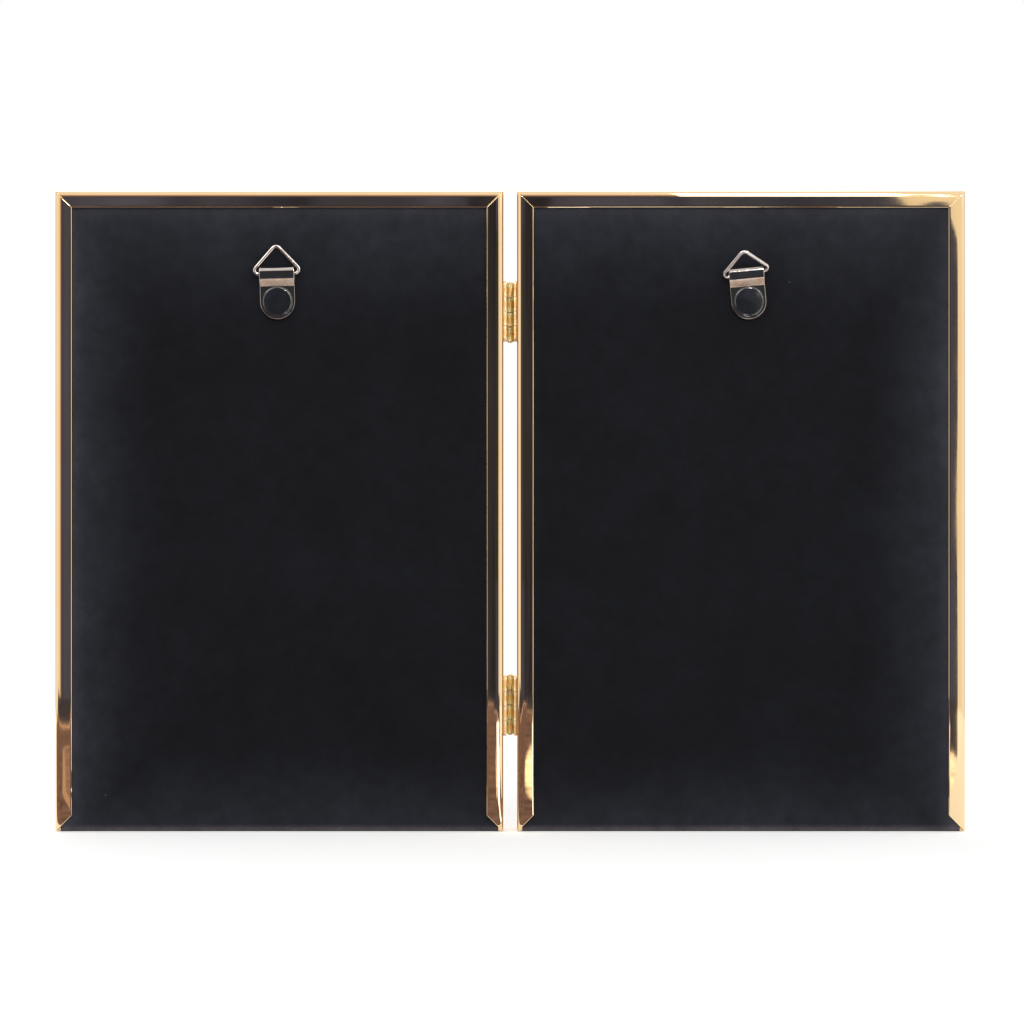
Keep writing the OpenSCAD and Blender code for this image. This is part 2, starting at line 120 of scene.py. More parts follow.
goldLook = {
    "colour": (0.94, 0.715, 0.43, 1),
    "deep": (0.92, 0.66, 0.37, 1),       # where the plating is a little redder
    "tint": 35, "tintSpan": (0.35, 0.7),
    "wave": 18, "waveDepth": 0.11 * mm,  # how far the polished metal is from flat
    "peel": 420, "peelDepth": 0.0006 * mm,
    "smudge": 70, "smudgeSpan": (0.3, 0.75), "shine": (0.016, 0.05),
}


def polishedGold():
    look = goldLook
    material, tree, shader, place = newMaterial("polishedGold", Metallic=1.0)
    tint = rangeOf(tree, noiseAt(tree, place, look["tint"], 3), 0, 1, *look["tintSpan"])
    colour = blendColours(tree, tint, look["colour"], look["deep"])
    smudge = noiseAt(tree, place, look["smudge"], 4, 0.6)
    shine = rangeOf(tree, smudge, *look["shine"], *look["smudgeSpan"])
    wave = bumpOf(tree, noiseAt(tree, place, look["wave"], 1, 0.3), look["waveDepth"])
    peel = bumpOf(tree, noiseAt(tree, place, look["peel"], 2), look["peelDepth"], wave)
    joinTo(tree, shader, Base_Color=colour, Roughness=shine, Normal=peel)
    return material


brassLook = {
    # painted light: pale is a painted highlight on the knuckle ends, brown is painted shade in the gaps and
    # beside the rails
    "pale": (1.0, 0.95, 0.64, 1), "amber": (1.0, 0.75, 0.33, 1), "brown": (0.78, 0.44, 0.21, 1),
    "knuckles": 4, "paintedHighlight": (0.12, 0.34),   # as shares of a knuckle, out from its middle
    "patch": 620, "uneven": 0.17,            # and by how much the painted highlight wanders
    "paintedGapShade": (0.455, 0.485), "paintedRailShade": (1.35 * mm, 1.70 * mm),  # painted shade in the gaps and by the rails
    "blotch": 600, "shine": (0.40, 0.60), "mark": 800, "markDepth": 0.03 * mm,
}


def hingeBrass():
    # Painted highlight towards the ends of the knuckles, amber in their middles, painted shade in the gaps
    # and by the rails
    look = brassLook
    material, tree, shader, place = newMaterial("hingeBrass", Metallic=1.0)
    height = axesOf(tree, coordinatesOf(tree, "Generated"))["Z"]
    share = mathOf(tree, "FRACT", mathOf(tree, "MULTIPLY", height, look["knuckles"]))
    fromMiddle = mathOf(tree, "ABSOLUTE", mathOf(tree, "SUBTRACT", share, 0.5))
    patches = noiseAt(tree, place, look["patch"], 3, 0.6)
    uneven = rangeOf(tree, patches, -look["uneven"], look["uneven"], *noiseSpan)
    # painted highlight towards the knuckle ends, then painted shade in the gaps and beside the rails
    paintedHighlight = rangeOf(tree, mathOf(tree, "ADD", fromMiddle, uneven), 0, 1, *look["paintedHighlight"])
    gapPaintedShade = rangeOf(tree, fromMiddle, 0, 1, *look["paintedGapShade"])
    apart = mathOf(tree, "ABSOLUTE", axesOf(tree, place)["X"])
    paintedShade = mathOf(tree, "MAXIMUM", gapPaintedShade, rangeOf(tree, apart, 0, 1, *look["paintedRailShade"]))
    colour = blendColours(tree, paintedHighlight, look["amber"], look["pale"])
    colour = blendColours(tree, paintedShade, colour, look["brown"])
    shine = rangeOf(tree, noiseAt(tree, place, look["blotch"], 3), *look["shine"], *noiseSpan)
    marks = noiseAt(tree, place, look["mark"], 2, 0.5, stretch=(1, 1, 0.5))
    joinTo(tree, shader, Base_Color=colour, Roughness=shine, Normal=bumpOf(tree, marks, look["markDepth"]))
    return material


nickelLooks = {
    "darkNickel": {"colour": (0.60, 0.54, 0.505, 1), "deep": (0.50, 0.44, 0.41, 1),
                   "shine": (0.05, 0.11), "mark": 700, "depth": 0.0012 * mm},
    "brightNickel": {"colour": (0.76, 0.70, 0.66, 1), "deep": (0.62, 0.54, 0.49, 1),
                     "shine": (0.05, 0.12), "mark": 900, "depth": 0.0012 * mm},
    "plainSteel": {"colour": (0.62, 0.63, 0.65, 1), "deep": (0.45, 0.46, 0.48, 1),
                   "shine": (0.28, 0.45), "mark": 500, "depth": 0.01 * mm},
}
platingSpan = (0.4, 0.72)
slopeLook = {  # of the strap below its fold: painted reflection, the slope that faces down is coloured warm tan and made duller
    "metal": "darkNickel", "colour": (0.72, 0.555, 0.44, 1), "deep": (0.62, 0.40, 0.27, 1),
    "faces": (0, 0.7, -0.714), "squarely": (0.78, 0.92),
    "patch": 420, "patchSpan": (0.42, 0.62), "metallic": 0.15, "shine": 0.42,
}


def platedMetal(name):
    look = nickelLooks[name]
    material, tree, shader, place = newMaterial(name, Metallic=1.0)
    tint = rangeOf(tree, noiseAt(tree, place, look["mark"] / 2, 4, 0.6), 0, 1, *platingSpan)
    colour = blendColours(tree, tint, look["colour"], look["deep"])
    shine = rangeOf(tree, noiseAt(tree, place, look["mark"], 3), *look["shine"], *noiseSpan)
    if name == slopeLook["metal"]:
        colour, shine, metallic = paintedSlopeReflection(tree, place, colour, shine)
        joinTo(tree, shader, Metallic=metallic)
    marks = bumpOf(tree, noiseAt(tree, place, look["mark"], 3, 0.6), look["depth"])
    joinTo(tree, shader, Base_Color=colour, Roughness=shine, Normal=marks)
    return material


def paintedSlopeReflection(tree, place, colour, shine):
    look = slopeLook
    # Painted reflection: where the surface faces down the slope, a warm tan stands in for the lit table seen
    # in it
    wanted = {0: coordinatesOf(tree, "Normal"), 1: look["faces"]}
    facing = addNode(tree, "VectorMath", wanted, operation="DOT_PRODUCT").outputs["Value"]
    reflectionMask = rangeOf(tree, facing, 0, 1, *look["squarely"])
    patch = rangeOf(tree, noiseAt(tree, place, look["patch"], 3, 0.6), 0, 1, *look["patchSpan"])
    paintedReflection = blendColours(tree, patch, look["colour"], look["deep"])
    shine = addNode(tree, "Mix", {0: reflectionMask, 2: shine, 3: look["shine"]}).outputs[0]
    return blendColours(tree, reflectionMask, colour, paintedReflection), shine, rangeOf(tree, reflectionMask, 1.0, look["metallic"])


velvetLook = {
    # painted light: edge, rim and turned are lighter tones painted towards the sides and the bottom fold,
    # standing in for the lamps' sheen on the pile
    "middle": (0.0064, 0.0069, 0.0092, 1), "edge": (0.0280, 0.0300, 0.0390, 1),
    "rim": (0.066, 0.068, 0.084, 1),        # painted sheen along the rails
    "turned": (0.105, 0.088, 0.098, 1),     # painted sheen on the fold at the bottom
    # how far in each painted lighter tone reaches, as a share of the board, and how steeply it fades
    "fades": {"edge": (0.24, 1.8), "rim": (0.062, 2.0), "turned": (0.011, 1.5)},
    # at each side: what the painted light loses first, and how far it reaches beside that of the free side
    "starts": {"outer": 0.0, "hinge": 0.045, "top": 0.012, "bottom": 0.05},
    "shares": {"outer": 1.0, "hinge": 0.25, "top": 1.0, "bottom": 0.77},
    # lie of the nap in patches, in short strokes and in fibres: scale, detail, roughness, darkest, lightest
    "grains": [(38, 4, 0.6, 0.80, 1.22), (260, 3, 0.65, 0.85, 1.18), (5200, 2, 0.6, 0.55, 1.5)],
    "dust": (0.11, 0.11, 0.125, 1), "dustScale": 150.0, "dustSize": (0.012, 0.035), "leftOut": 0.955,
    "pile": 5200, "pileDepth": 0.10 * mm,
    "shader": {"Roughness": 0.95, "Specular_IOR_Level": 0.12, "Sheen_Weight": 0.06,
               "Sheen_Roughness": 0.35, "Sheen_Tint": (0.75, 0.78, 0.95, 1)},
}


def blackVelvet():
    look = velvetLook
    material, tree, shader, place = newMaterial("blackVelvet", **look["shader"])
    hingeSide, freeSide = [corner.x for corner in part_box("right_velvet_cover")]
    outward = mathOf(tree, "ABSOLUTE", axesOf(tree, place)["X"])
    upward = axesOf(tree, coordinatesOf(tree, "Generated"))["Z"]
    sides = {"outer": (outward, freeSide, hingeSide), "hinge": (outward, hingeSide, freeSide),
             "top": (upward, 1, 0), "bottom": (upward, 0, 1)}
    nearest = None
    for side, (value, here, there) in sides.items():
        start = look["starts"][side]
        away = rangeOf(tree, value, start, start + 1 / look["shares"][side], here, there)
        nearest = away if nearest is None else mathOf(tree, "MINIMUM", nearest, away)
    colour = look["middle"]
    # Painted sheen: lighter towards the sides, most at the outer side, along the rails and on the bottom
    # fold
    for tone, distance in (("edge", nearest), ("rim", nearest), ("turned", upward)):
        reach, power = look["fades"][tone]
        near = mathOf(tree, "POWER", rangeOf(tree, distance, 1, 0, 0, reach), power)
        colour = blendColours(tree, near, colour, look[tone])
    for scale, detail, roughness, low, high in look["grains"]:
        grain = rangeOf(tree, noiseAt(tree, place, scale, detail, roughness), low, high, *noiseSpan)
        colour = blendColours(tree, 1.0, colour, grain, "MULTIPLY")
    # Here and there a speck of dust
    specks = addNode(tree, "TexVoronoi", {"Vector": place, "Scale": look["dustScale"], "Randomness": 1.0})
    close = rangeOf(tree, specks.outputs["Distance"], 1, 0, *look["dustSize"])
    chance = addNode(tree, "SeparateColor", {0: specks.outputs["Color"]}).outputs[0]
    dust = mathOf(tree, "MULTIPLY", close, mathOf(tree, "GREATER_THAN", chance, look["leftOut"]))
    colour = blendColours(tree, dust, colour, look["dust"])
    pile = bumpOf(tree, noiseAt(tree, place, look["pile"], 2, 0.7), look["pileDepth"])
    joinTo(tree, shader, Base_Color=colour, Normal=pile)
    return material


rivetLook = {
    "dark": (0.008, 0.009, 0.0115, 1), "light": (0.013, 0.0138, 0.0165, 1),
    "tint": 500, "tintSpan": (0.35, 0.7), "smudge": 350, "shine": (0.12, 0.22),
    "peel": 1500, "peelDepth": 0.002 * mm,
    "shader": {"Specular_IOR_Level": 0.5, "Coat_Weight": 1.0, "Coat_Roughness": 0.04, "Coat_IOR": 1.7},
}


def blackRivet():
    look = rivetLook
    material, tree, shader, place = newMaterial("blackRivet", **look["shader"])
    tint = rangeOf(tree, noiseAt(tree, place, look["tint"], 3), 0, 1, *look["tintSpan"])
    colour = blendColours(tree, tint, look["dark"], look["light"])
    shine = rangeOf(tree, noiseAt(tree, place, look["smudge"], 3, 0.6), *look["shine"], *noiseSpan)
    peel = bumpOf(tree, noiseAt(tree, place, look["peel"], 2), look["peelDepth"])
    joinTo(tree, shader, Base_Color=colour, Roughness=shine, Normal=peel)
    return material


glassLook = {
    "clear": (0.965, 0.985, 0.975, 1), "clearer": (0.975, 0.99, 0.985, 1), "drift": 8,
    "smudge": 60, "smudgeSpan": (0.5, 0.8), "shine": (0.0, 0.02),
    "shader": {"Transmission_Weight": 1.0, "IOR": 1.52},
}


def clearGlass():
    look = glassLook
    material, tree, shader, place = newMaterial("clearGlass", **look["shader"])
    drift = noiseAt(tree, place, look["drift"], 1)
    colour = blendColours(tree, drift, look["clear"], look["clearer"])
    smudge = noiseAt(tree, place, look["smudge"], 4, 0.6)
    shine = rangeOf(tree, smudge, *look["shine"], *look["smudgeSpan"])
    joinTo(tree, shader, Base_Color=colour, Roughness=shine)
    return material


cardLook = {
    "paper": (0.84, 0.815, 0.755, 1), "shade": (0.79, 0.76, 0.70, 1), "line": (0.36, 0.33, 0.29, 1),
    "lineIn": (0.085, 0.105),            # places of the two keylines, as shares of the card's width
    "lineHalf": (0.0045, 0.0014),        # and half their widths
    "tall": 1.5,                         # the card's height over its width
    "grain": 900, "fibre": 1400, "fibreDepth": 0.01 * mm,
    "shader": {"Roughness": 0.7, "Specular_IOR_Level": 0.3},
}


def insertCard():
    look = cardLook
    material, tree, shader, place = newMaterial("insertCard", **look["shader"])
    grain = rangeOf(tree, noiseAt(tree, place, look["grain"], 5, 0.7), 0, 1, *noiseSpan)
    colour = blendColours(tree, grain, look["paper"], look["shade"])
    spread = axesOf(tree, coordinatesOf(tree, "Generated"))
    nearest = None
    for axis, long in (("X", 1.0), ("Z", look["tall"])):
        fromMiddle = mathOf(tree, "ABSOLUTE", mathOf(tree, "SUBTRACT", spread[axis], 0.5))
        inwards = rangeOf(tree, fromMiddle, 0.5 * long, 0, 0, 0.5)
        nearest = inwards if nearest is None else mathOf(tree, "MINIMUM", nearest, inwards)
    for at, half in zip(look["lineIn"], look["lineHalf"]):
        inked = mathOf(tree, "COMPARE", nearest, at, half)
        colour = blendColours(tree, inked, colour, look["line"])
    fibres = bumpOf(tree, noiseAt(tree, place, look["fibre"], 4, 0.6), look["fibreDepth"])
    joinTo(tree, shader, Base_Color=colour, Normal=fibres)
    return material


boardLooks = {
    "greyCard": {"light": (0.36, 0.345, 0.315, 1), "dark": (0.24, 0.23, 0.215, 1), "grain": 1100},
    "pressedBoard": {"light": (0.27, 0.155, 0.085, 1), "dark": (0.12, 0.065, 0.035, 1), "grain": 650},
}
fibreLook = {
    "stretch": (1, 1, 0.45), "span": (0.35, 0.65), "depth": 0.04 * mm,
    "broader": 12, "shade": (0.85, 1.12),   # cloudy patches, so many times as broad as the fibres
    "shader": {"Roughness": 0.85, "Specular_IOR_Level": 0.2},
}


def fibreBoard(name):
    look, fibre = boardLooks[name], fibreLook
    material, tree, shader, place = newMaterial(name, **fibre["shader"])
    flecks = noiseAt(tree, place, look["grain"], 5, 0.75, stretch=fibre["stretch"])
    flecks = rangeOf(tree, flecks, 0, 1, *fibre["span"])
    clouds = noiseAt(tree, place, look["grain"] / fibre["broader"], 3)
    clouds = rangeOf(tree, clouds, *fibre["shade"], *noiseSpan)
    colour = blendColours(tree, flecks, look["dark"], look["light"])
    colour = blendColours(tree, 1.0, colour, clouds, "MULTIPLY")
    joinTo(tree, shader, Base_Color=colour, Normal=bumpOf(tree, flecks, fibre["depth"]))
    return material


materials = {
    "polished_gold": polishedGold(), "hinge_brass": hingeBrass(),
    "dark_nickel": platedMetal("darkNickel"), "bright_nickel": platedMetal("brightNickel"),
    "plain_steel": platedMetal("plainSteel"), "black_velvet": blackVelvet(),
    "black_rivet": blackRivet(), "clear_glass": clearGlass(), "insert_card": insertCard(),
    "grey_card": fibreBoard("greyCard"), "pressed_board": fibreBoard("pressedBoard"),
}
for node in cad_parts.values():
    for entry in node.material_slots:
        entry.material = materials[entry.material.name.split(".")[0]]
print("materials ready:", len(materials))


# Meshes

def arc(centre, radius, start, end, steps):
    # Points round a centre, from one angle to another in degrees
    turn = [math.radians(start + (end - start) * k / steps) for k in range(steps + 1)]
    return [(centre[0] + radius * math.cos(a), centre[1] + radius * math.sin(a)) for a in turn]


fillets = {"step": 9, "small": 0.3, "smallSteps": 3}  # degrees; radii up to the small one take few steps


def filleted(corners):
    # Closed outline with an arc at each corner (x, y, radius)
    outline = []
    for k, (x, y, radius) in enumerate(corners):
        here = Vector((x, y))
        if not radius:
            outline.append((x, y))
            continue
        before = (Vector(corners[k - 1][:2]) - here).normalized()
        after = (Vector(corners[(k + 1) % len(corners)][:2]) - here).normalized()
        half = before.angle(after) / 2
        reach = radius / math.tan(half)
        centre = here + (before + after).normalized() * (radius / math.sin(half))
        first = here + before * reach - centre
        turn = (here + after * reach - centre).angle_signed(first)
        steps = fillets["smallSteps"]
        if radius > fillets["small"]:
            steps = max(2, round(abs(math.degrees(turn)) / fillets["step"]))
        for step in range(steps + 1):
            point = centre + Matrix.Rotation(turn * step / steps, 2) @ first
            outline.append((point.x, point.y))
    return outline


def inset(outline, depth):
    # Outline moved inwards by depth; the outline runs anticlockwise
    moved = []
    for k, point in enumerate(outline):
        before, after = Vector(outline[k - 1]), Vector(outline[(k + 1) % len(outline)])
        along = ((Vector(point) - before).normalized() + (after - Vector(point)).normalized()).normalized()
        moved.append((point[0] - along.y * depth, point[1] + along.x * depth))
    return moved


def bandBetween(bm, first, second):
    for k in range(len(first)):
        n = (k + 1) % len(first)
        bm.faces.new((first[k], first[n], second[n], second[k]))


def objectFrom(name, bm):
    mesh = bpy.data.meshes.new(name)
    bm.to_mesh(mesh)
    bm.free()
    made = bpy.data.objects.new(name, mesh)
    scene.collection.objects.link(made)
    return made


def finishPiece(name, bm, body, slot, nodes, sharp=35):
    # sharp is the angle between faces, in degrees, from which an edge shows
    bmesh.ops.recalc_face_normals(bm, faces=bm.faces)
    piece = objectFrom(name, bm)
    mesh = piece.data
    mesh.polygons.foreach_set("use_smooth", [True] * len(mesh.polygons))
    mesh.set_sharp_from_angle(angle=math.radians(sharp))
    mesh.materials.append(materials[slot])
    evened = piece.modifiers.new("evenFlats", "WEIGHTED_NORMAL")
    evened.keep_sharp = True
    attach(piece, body)
    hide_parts(*nodes)
    return piece


# Rails: the section is (depth behind the front face, distance in from the outer face)

rail = {
    "outerWall": 1.2, "innerWall": 1.0, "plate": 1.2, "pocketIn": 7.9, "shelf": 7.0,
    "lipWide": 4.4, "lipThick": 1.0, "hookThick": 1.2, "hookDeep": 2.6,
    "edgeRound": 1.4, "rimRound": 0.25, "softEdge": 0.16, "hollowRound": 0.3,
    # the lip's back isn't flat: it rolls off softly to its outer edge
    "rollStart": 0.95, "rollEnd": 2.0, "rollRate": 0.066, "rollSteps": 14,
    "lipCrown": 0.03, "crownSteps": 8,
    "mitreRound": 0.15, "mitreSteps": 4,
}


def lipBack(depth):
    # From the corner of the outer edge, with the radius that meets the roll, inwards over the lip
    r = rail
    rollWide = r["rollEnd"] - r["rollStart"]
    places = [r["rollStart"] + rollWide * k / r["rollSteps"] for k in range(r["rollSteps"] + 1)]
    rest = r["lipWide"] - r["rimRound"] - r["rollEnd"]
    places += [r["rollEnd"] + rest * k / r["crownSteps"] for k in range(1, r["crownSteps"])]
    points = []
    for d in places:
        fall = r["rollRate"] * max(0, r["rollEnd"] - d) ** 2 + r["lipCrown"] * (1 - d / r["lipWide"]) ** 2
        points.append((depth - fall, d, 0))
    (v0, d0, _), (v1, d1, _) = points[:2]
    rise = (v1 - v0) / (d1 - d0)
    half = (math.pi / 2 + math.atan(rise)) / 2
    return [(v0 - rise * d0, 0, d0 * math.hypot(1, rise) * math.tan(half))] + points[1:]


def railOutline(lipped, depth, plateWide):
    r, soft = rail, rail["softEdge"]
    if lipped:
        under = depth - r["lipThick"]
        back = lipBack(depth)
        back += [(depth, r["lipWide"], r["rimRound"]), (under, r["lipWide"], soft),
                 (under, r["outerWall"], soft), (r["shelf"], r["outerWall"], soft)]
    else:
        back = [(r["shelf"], 0, r["rimRound"])]
    hook = plateWide - r["hookThick"]
    front = [(r["shelf"], r["pocketIn"], soft), (r["plate"], r["pocketIn"], soft), (r["plate"], hook, soft),
             (r["hookDeep"], hook, soft), (r["hookDeep"], plateWide, soft), (0, plateWide, r["rimRound"])]
    return filleted([(0, 0, r["edgeRound"])] + back + front)


def hollowOutline():
    r = rail
    v0, v1 = r["plate"], r["shelf"] - r["innerWall"]
    d0, d1 = r["outerWall"], r["pocketIn"] - r["innerWall"]
    return filleted([(v, d, r["hollowRound"]) for v, d in ((v0, d0), (v1, d0), (v1, d1), (v0, d1))])


def railMesh(length, lipped, depth, plateWide, place):
    # place(along, inwards, back) gives the point in the object's frame, all in millimetres
    bm = bmesh.new()
    outline, hollow = railOutline(lipped, depth, plateWide), hollowOutline()
    turns = [math.pi / 2 * k / rail["mitreSteps"] for k in range(rail["mitreSteps"] + 1)]
    ends = [(math.sqrt(2) * rail["mitreRound"] * (1 - math.cos(a)), rail["mitreRound"] * (1 - math.sin(a)))
            for a in turns]  # distance from the mitre along the rail, and how far the outline is drawn in

    def ring(points, fromStart, along):
        made = []
        for v, d in points:
            u = d + along if fromStart else length - d - along
            made.append(bm.verts.new(Vector(place(u, d, v)) * mm))
        return made

    stations = [(True, along, drawn) for along, drawn in ends]
    stations += [(False, along, drawn) for along, drawn in reversed(ends)]
    rings = [ring(inset(outline, drawn), start, along) for start, along, drawn in stations]
    inner = [ring(hollow, start, 0) for start in (True, False)]
    for first, second in list(zip(rings, rings[1:])) + [inner]:
        bandBetween(bm, first, second)
    for outer, hole in ((rings[0], inner[0]), (rings[-1], inner[1])):
        edges = []
        for loop in (outer, hole):
            edges += [bm.edges.get((loop[k], loop[(k + 1) % len(loop)])) for k in range(len(loop))]
        bmesh.ops.triangle_fill(bm, edges=edges, use_beauty=True)
    return bm


def buildRails(side):
    sign = sideSign[side]
    names = {kind: f"{side}_{kind}_rail" for kind in ("top", "bottom", "hinge", "outer")}
    boxes = {kind: [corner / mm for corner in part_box(names[kind])] for kind in names}
    low, high = boxes["hinge"]
    near = min(abs(low.x), abs(high.x))
    wide = boxes["top"][1].x - boxes["top"][0].x
    tall = high.z - low.z
    depth = high.y - low.y
    plateWide = high.x - low.x
    front = low.y
    places = {
        "bottom": lambda u, d, v: (sign * (near + u), front + v, d),
        "top": lambda u, d, v: (sign * (near + u), front + v, tall - d),
        "hinge": lambda u, d, v: (sign * (near + d), front + v, u),
        "outer": lambda u, d, v: (sign * (near + wide - d), front + v, u),
    }
    for kind, place in places.items():
        length = tall if kind in ("hinge", "outer") else wide
        bm = railMesh(length, kind != "bottom", depth, plateWide, place)
        name = f"{side}{kind.capitalize()}Rail"
        finishPiece(name, bm, f"{side}_panel", "polished_gold", [names[kind]], sharp=25)


for side in sideSign:
    buildRails(side)
print("rails ready")


# Flat pieces with softened edges: glass, card and pad

def softSlab(name, node, body, slot, soft):
    bm = bmesh.new()
    low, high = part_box(node)
    bmesh.ops.create_cube(bm, size=1)
    for vert in bm.verts:
        vert.co = Vector((low[i] if vert.co[i] < 0 else high[i] for i in range(3)))
    bmesh.ops.bevel(bm, geom=bm.edges[:], offset=soft * mm, segments=2, profile=0.5, affect="EDGES")
    return finishPiece(name, bm, body, slot, [node])


slabs = {  # slot, and how far the edges are softened
    "glass": ("clear_glass", 0.3), "photo_insert": ("insert_card", 0.06), "filler_pad": ("grey_card", 0.25),
}
for side in sideSign:
    for part, (slot, soft) in slabs.items():
        plain = side + "".join(word.capitalize() for word in part.split("_"))
        piece = softSlab(plain, f"{side}_{part}", f"{side}_panel", slot, soft)
        if part == "glass":  # light reaches the card through the pane
            piece.visible_shadow = False
            piece.visible_diffuse = False
print("glass, cards and pads ready")


# Velvet: cut larger than the back of the board and turned round its bottom edge

velvet = {
    "thick": 0.4, "cornerRound": 1.5, "turnRound": 0.75, "columns": 90, "rows": 120, "turnSteps": 8,
    "weld": 0.0005,
}


def velvetSheet(side):
    v = velvet
    node = f"{side}_velvet_cover"
    low, high = [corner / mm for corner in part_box(node)]
    half = v["thick"] / 2
    faceY = high.y - half
    bottom = low.z + half
    wide = high.x - low.x
    turn = v["turnRound"] - half
    path = [(faceY, high.z - (high.z - bottom - turn) * k / v["rows"]) for k in range(v["rows"] + 1)]
    path += arc((faceY - turn, bottom + turn), turn, 0, -90, v["turnSteps"])[1:]
    path.append((low.y, bottom))
    bm = bmesh.new()
    grid = []
    for k in range(v["columns"] + 1):
        # columns crowd towards the sides, where the corners are round
        share = 0.5 - 0.5 * math.cos(math.pi * k / v["columns"])
        edge = min(share, 1 - share) * wide
        miss = v["cornerRound"] - edge
        cut = v["cornerRound"] - math.sqrt(v["cornerRound"] ** 2 - miss ** 2) if miss > 0 else 0
        column = []
        for y, z in path:
            shortened = min(z, high.z - cut)
            if z < bottom + turn and cut > 0:
                shortened = max(shortened, low.z + half)
            column.append(bm.verts.new(Vector((low.x + share * wide, y, shortened)) * mm))
        grid.append(column)
    for first, second in zip(grid, grid[1:]):
        for k in range(len(path) - 1):
            bm.faces.new((first[k], first[k + 1], second[k + 1], second[k]))
    bmesh.ops.remove_doubles(bm, verts=bm.verts, dist=v["weld"] * mm)
    piece = finishPiece(f"{side}Velvet", bm, f"{side}_back", "black_velvet", [node], sharp=60)
    thick = piece.modifiers.new("clothThickness", "SOLIDIFY")
    thick.thickness = v["thick"] * mm
    thick.offset = 0


for side in sideSign:
    velvetSheet(side)


# Hangers: built flat round the rivet, x to the right, y away from the board, z up, in millimetres

hanger = {
    "strapWide": 9.2, "strapThick": 0.7, "strapReach": 9.05, "foldDepth": 3.1, "foldRound": 1.15,
    "layerGap": 0.1, "bendRun": 2.1, "bendFoot": 4.05, "bendRound": 0.6, "edgeRound": 0.16,
    "wireRound": 0.5, "ringWide": 12.6, "ringReach": 7.7, "cornerRound": 1.05, "topRound": 1.3,
    "barOut": 1.73, "barDrop": 1.75,
    "headWide": 8.0, "headHigh": 1.5, "crownOut": 3.45, "crownDrop": 0.09, "crownSteps": 8,
    "shoulder": 0.50, "shoulderFrom": 85, "shoulderTo": 10,
    "skirt": [(-0.02, 0.5), (0, 0.2), (-0.06, 0)],  # out from the rim, up from the strap
    "shankWide": 3.0, "tailWide": 5.5,
    # the flared tail: out from its rim and then from the shank, up from its end
    "tailSide": [(-0.1, 0.6), (0, 0.45), (0, 0.25), (-0.15, 0.08), (-0.5, 0)],
    "tailHollow": [(0.1, 0), (-0.35, 0.35), (-0.5, 1.2)], "hollowDeep": 1.3,
}
hangerSteps = {
    "backFold": 22, "fold": 18, "bend": 10, "strapEnd": 48,
    "shoulder": 9, "turned": 96, "ringBend": 18, "wire": 28,
}
cuts = {"snap": 1e-5, "past": 1e-4, "on": 1e-3}  # how near to a cut across the blank, in millimetres
hangerTurn = {  # degrees: strap about its rivet, ring askew in its fold, ring tipped from the board
    "right": (1.5, 0, 0), "left": (5.5, 4.5, 40),
}


def hangerFrame(side):
    # Where the rivet meets the velvet, from the rivet's own box, and the strap's turn
    low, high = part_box(f"{side}_hanger_rivet")
    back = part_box(f"{side}_velvet_cover")[1].y
    middle = (low + high) / 2
    return (Matrix.Translation((middle.x, back, middle.z))
            @ Matrix.Rotation(math.radians(hangerTurn[side][0]), 4, "Y") @ Matrix.Scale(mm, 4))


def strapLine():
    # Middle line of the metal from the tip of the back layer over the fold to the tip of the front one
    h = hanger
    half, backRound = h["strapThick"] / 2, h["foldDepth"] - h["foldRound"]
    frontY = h["strapThick"] + h["layerGap"] + half
    run, both = h["bendRun"], 2 * h["bendRound"]
    lean = both - (h["foldDepth"] - half - frontY)
    slope = math.sqrt(run ** 2 + lean ** 2 - both ** 2)  # length of the straight between the two bends
    bend = math.degrees(math.atan2(run, lean) - math.atan2(slope, both))
    upper = (h["foldDepth"] - half - h["bendRound"], h["bendFoot"] + run)
    lower = (frontY + h["bendRound"], h["bendFoot"])
    tip = -h["strapWide"] / 2
    line = [(half, tip)]
    line += arc((backRound, h["strapReach"] - backRound), backRound - half, 180, 90, hangerSteps["backFold"])
    foldMiddle = (backRound, h["strapReach"] - h["foldRound"])
    line += arc(foldMiddle, h["foldRound"] - half, 90, 0, hangerSteps["fold"])[1:]
    line += arc(upper, h["bendRound"], 0, -bend, hangerSteps["bend"])
    line += arc(lower, h["bendRound"], 180 - bend, 180, hangerSteps["bend"])
    return line + [(frontY, tip)]


